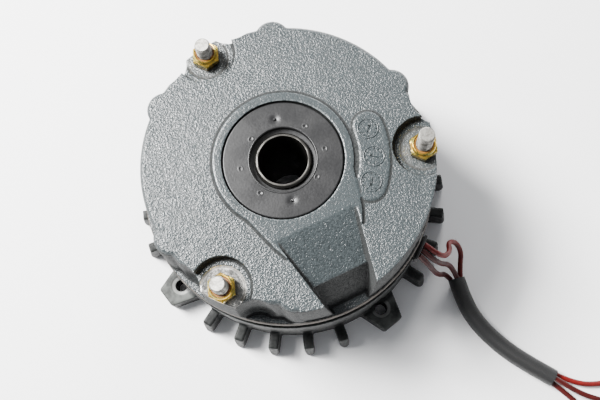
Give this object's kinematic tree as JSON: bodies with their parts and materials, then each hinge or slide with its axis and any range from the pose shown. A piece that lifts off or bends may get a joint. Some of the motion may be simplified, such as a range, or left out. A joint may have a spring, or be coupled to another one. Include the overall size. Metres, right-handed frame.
{
  "type": "electromagnetic clutch",
  "caption": "Spring-applied electromagnetic clutch-brake: lobed cast magnet body held on studs above a finned mounting shield, with friction disc, armature, bored hub and red leads.",
  "frame": {"origin": "on the shaft axis, in the plane of the mounting shield's bottom face", "axes": "+Z along the shaft axis from the mounting face up through the magnet body; +X and +Y square to it, with the first stud 6 degrees from +X"},
  "size_m": [0.2889, 0.2334, 0.1117],
  "materials": {
    "shield_paint": "dark grey-green paint over a casting",
    "magnet_paint": "blue-grey hammered paint",
    "bearing_steel": "ground and polished",
    "spring_steel": "phosphated",
    "turned_steel": "turned",
    "zinc_steel": "clear zinc plate",
    "yellow_zinc": "yellow passivated zinc",
    "insert_nylon": "amber nylon",
    "friction_lining": "moulded friction material",
    "rivet_brass": "plain",
    "cage_nylon": "glass-filled nylon",
    "moulded_black": "moulded, slight sheen",
    "black_rubber": "matt rubber",
    "copper_wire": "enamelled copper wire",
    "potting_resin": "cast resin",
    "lead_red": "red silicone insulation",
    "lead_maroon": "dark red silicone insulation",
    "sleeving_black": "woven and varnished sleeving",
    "ferrule_tin": "tin plate"
  },
  "bodies": {
    "housing": {"mounting_shield": "shield_paint", "bearing_outer_ring": "bearing_steel", "bearing_seals": "black_rubber", "bearing_circlip": "spring_steel", "mounting_studs": "zinc_steel", "spacer_sleeves": "turned_steel", "gap_shims": "turned_steel", "lock_nuts": "yellow_zinc", "nut_inserts": "insert_nylon", "torque_springs": "spring_steel", "magnet_body": "magnet_paint", "coil_bobbin": "cage_nylon", "coil_winding": "copper_wire", "coil_potting": "potting_resin", "moulded_ring": "moulded_black", "shaft_seal": "black_rubber", "lead_grommet": "black_rubber", "coil_tails": "lead_red", "lead_outer": "lead_red", "lead_middle": "lead_maroon", "lead_inner": "lead_maroon", "lead_sleeving": "sleeving_black", "tail_outer": "lead_red", "tail_middle": "lead_maroon", "tail_inner": "lead_maroon", "lead_ferrules": "ferrule_tin"},
    "armature": {"armature_plate": "turned_steel"},
    "hub": {"toothed_hub": "turned_steel", "hub_ring": "black_rubber", "bearing_inner_ring": "bearing_steel"},
    "disc": {"disc_carrier": "turned_steel", "friction_lining_upper": "friction_lining", "friction_lining_lower": "friction_lining", "lining_rivets": "rivet_brass"},
    "ball_cage": {"bearing_balls": "bearing_steel", "bearing_cage": "cage_nylon"}
  },
  "joints": [
    {"name": "armature_slide", "type": "slide", "parent": "housing", "child": "armature", "axis": [0, 0, 1], "range_m": [0, 0.0005], "stiffness_N_per_m": 3000, "springref_m": -0.002, "deforming": ["torque_springs"]},
    {"name": "hub_spin", "type": "hinge", "parent": "housing", "child": "hub", "pos_m": [0, 0, 0.05], "axis": [0, 0, 1], "continuous": true},
    {"name": "disc_float", "type": "slide", "parent": "hub", "child": "disc", "axis": [0, 0, 1], "range_m": [0, 0.00025]},
    {"name": "cage_spin", "type": "hinge", "parent": "housing", "child": "ball_cage", "pos_m": [0, 0, 0.0145], "axis": [0, 0, 1], "continuous": true}
  ],
  "couplings": [
    {"joint": "disc_float", "follows": "armature_slide", "ratio": 0.5},
    {"joint": "cage_spin", "follows": "hub_spin", "ratio": 0.3987}
  ]
}
